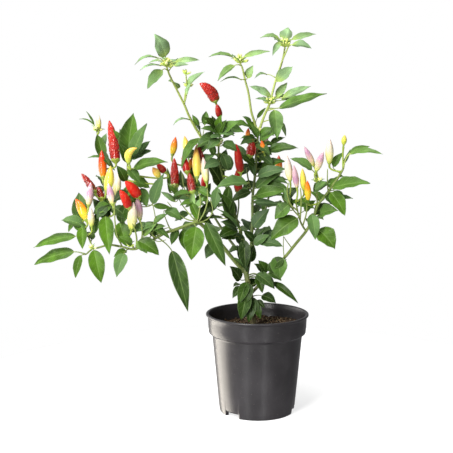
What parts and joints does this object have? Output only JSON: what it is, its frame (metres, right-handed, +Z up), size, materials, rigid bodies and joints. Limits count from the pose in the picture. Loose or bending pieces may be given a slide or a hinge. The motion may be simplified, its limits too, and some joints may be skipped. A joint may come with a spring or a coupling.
{
  "type": "potted chilli pepper plant",
  "caption": "Ornamental chilli pepper plant with upright fruits in several colours, growing from soil in a round tapered nursery pot.",
  "frame": {"origin": "middle of the pot's foot, on the ground", "axes": "+Z up through the middle of the pot, +X to the right as the plant is seen from the front, -Y to the front"},
  "size_m": [0.3862, 0.1945, 0.4515],
  "materials": {
    "pot": "smooth charcoal plastic with a soft sheen",
    "soil": "damp brown potting compost with fine roots and pale specks",
    "foliage_dark": "dark green leaves and stems, satin",
    "foliage_mid": "mid green leaves and stems, satin",
    "foliage_pale": "pale yellow-green young leaves, stems and flower buds, satin",
    "pepper_red": "glossy ripe red skin",
    "pepper_dark_red": "glossy dark red skin",
    "pepper_orange": "glossy orange skin fading to yellow at the base",
    "pepper_yellow": "glossy yellow skin",
    "pepper_cream": "glossy cream skin with a green blush at the base",
    "pepper_mauve": "glossy mauve skin fading to cream at the base"
  },
  "bodies": {
    "root": {"branch_back_left": "foliage_dark", "branch_back_right": "foliage_dark", "branch_centre": "foliage_dark", "branch_far_left": "foliage_mid", "branch_inner": "foliage_dark", "branch_left": "foliage_mid", "branch_middle": "foliage_mid", "branch_right": "foliage_mid", "pepper_01_yellow": "pepper_yellow", "pepper_02_yellow": "pepper_yellow", "pepper_03_red": "pepper_red", "pepper_04_red": "pepper_red", "pepper_05_cream": "pepper_cream", "pepper_06_mauve": "pepper_mauve", "pepper_07_dark_red": "pepper_dark_red", "pepper_08_cream": "pepper_cream", "pepper_09_red": "pepper_red", "pepper_10_orange": "pepper_orange", "pepper_11_dark_red": "pepper_dark_red", "pepper_12_dark_red": "pepper_dark_red", "pepper_13_mauve": "pepper_mauve", "pepper_14_orange": "pepper_orange", "pepper_15_cream": "pepper_cream", "pepper_16_yellow": "pepper_yellow", "pepper_17_mauve": "pepper_mauve", "pepper_18_cream": "pepper_cream", "pepper_19_orange": "pepper_orange", "pepper_20_red": "pepper_red", "pepper_21_red": "pepper_red", "pepper_22_dark_red": "pepper_dark_red", "pepper_23_yellow": "pepper_yellow", "pepper_24_dark_red": "pepper_dark_red", "pepper_25_orange": "pepper_orange", "pepper_26_cream": "pepper_cream", "pepper_27_red": "pepper_red", "pepper_28_dark_red": "pepper_dark_red", "pepper_29_dark_red": "pepper_dark_red", "pepper_30_dark_red": "pepper_dark_red", "pepper_31_red": "pepper_red", "pepper_32_orange": "pepper_orange", "pepper_33_mauve": "pepper_mauve", "pepper_34_orange": "pepper_orange", "pepper_35_cream": "pepper_cream", "pepper_36_mauve": "pepper_mauve", "pepper_37_yellow": "pepper_yellow", "pepper_38_orange": "pepper_orange", "pepper_39_mauve": "pepper_mauve", "pepper_40_mauve": "pepper_mauve", "pepper_41_cream": "pepper_cream", "pepper_42_yellow": "pepper_yellow", "pepper_43_red": "pepper_red", "pepper_44_yellow": "pepper_yellow", "pepper_45_orange": "pepper_orange", "pepper_46_dark_red": "pepper_dark_red", "pot": "pot", "shoot_left": "foliage_pale", "shoot_middle": "foliage_pale", "shoot_right": "foliage_pale", "soil": "soil", "trunk": "foliage_dark"}
  },
  "joints": []
}
